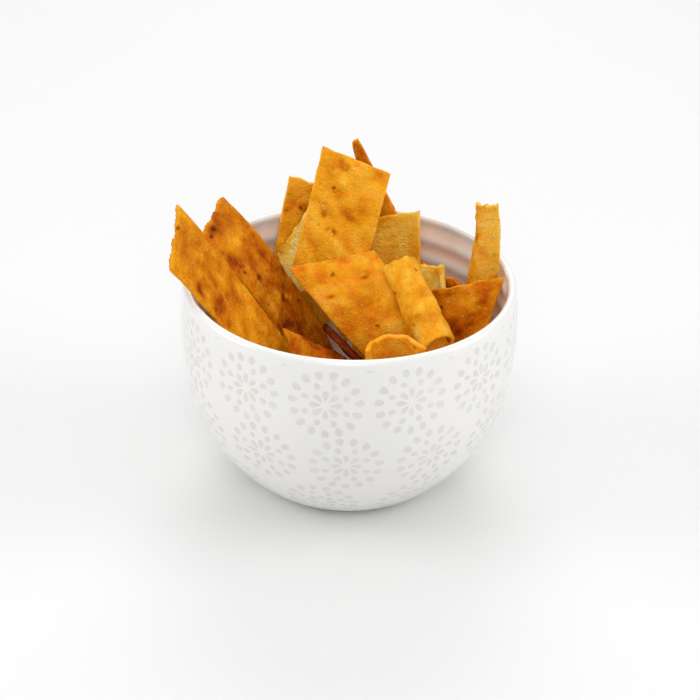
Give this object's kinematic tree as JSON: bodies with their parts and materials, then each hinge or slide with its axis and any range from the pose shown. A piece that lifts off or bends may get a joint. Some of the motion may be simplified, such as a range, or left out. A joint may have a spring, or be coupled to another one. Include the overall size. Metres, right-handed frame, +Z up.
{
  "type": "bowl of fafda",
  "caption": "Round white glazed stoneware bowl with a ringed taupe inside, filled with upright golden fried gram-flour strips, some curled.",
  "frame": {"origin": "middle of the bowl's foot, on the surface that it stands on", "axes": "+Z up along the bowl's axis; the side shown in front faces -Y"},
  "size_m": [0.1341, 0.132, 0.1242],
  "materials": {
    "white_glaze": "glossy white glaze with faint warm grey petal marks outside, taupe pink glaze inside",
    "golden_crust": "golden fried crust, blistered, with a thin oily sheen",
    "dark_crust": "deep orange fried crust, blistered, with a thin oily sheen",
    "pale_crust": "pale yellow fried crust, dry sheen"
  },
  "bodies": {
    "root": {"bowl": "white_glaze", "strip_left_front": "golden_crust", "strip_left_back": "dark_crust", "strip_back_left": "golden_crust", "strip_tall": "golden_crust", "strip_centre": "golden_crust", "strip_rolled": "pale_crust", "strip_back_right": "pale_crust", "strip_folded": "pale_crust", "strip_short": "dark_crust", "strip_right_front": "dark_crust", "strip_right_upright": "golden_crust", "strip_spiked": "dark_crust", "strip_low_left": "dark_crust", "strip_front_curl": "dark_crust", "strip_yellow": "pale_crust", "strip_floor_right": "dark_crust", "strip_floor_left": "golden_crust", "strip_low_front": "dark_crust", "strip_low_middle": "golden_crust", "strip_low_centre": "dark_crust"}
  },
  "joints": []
}
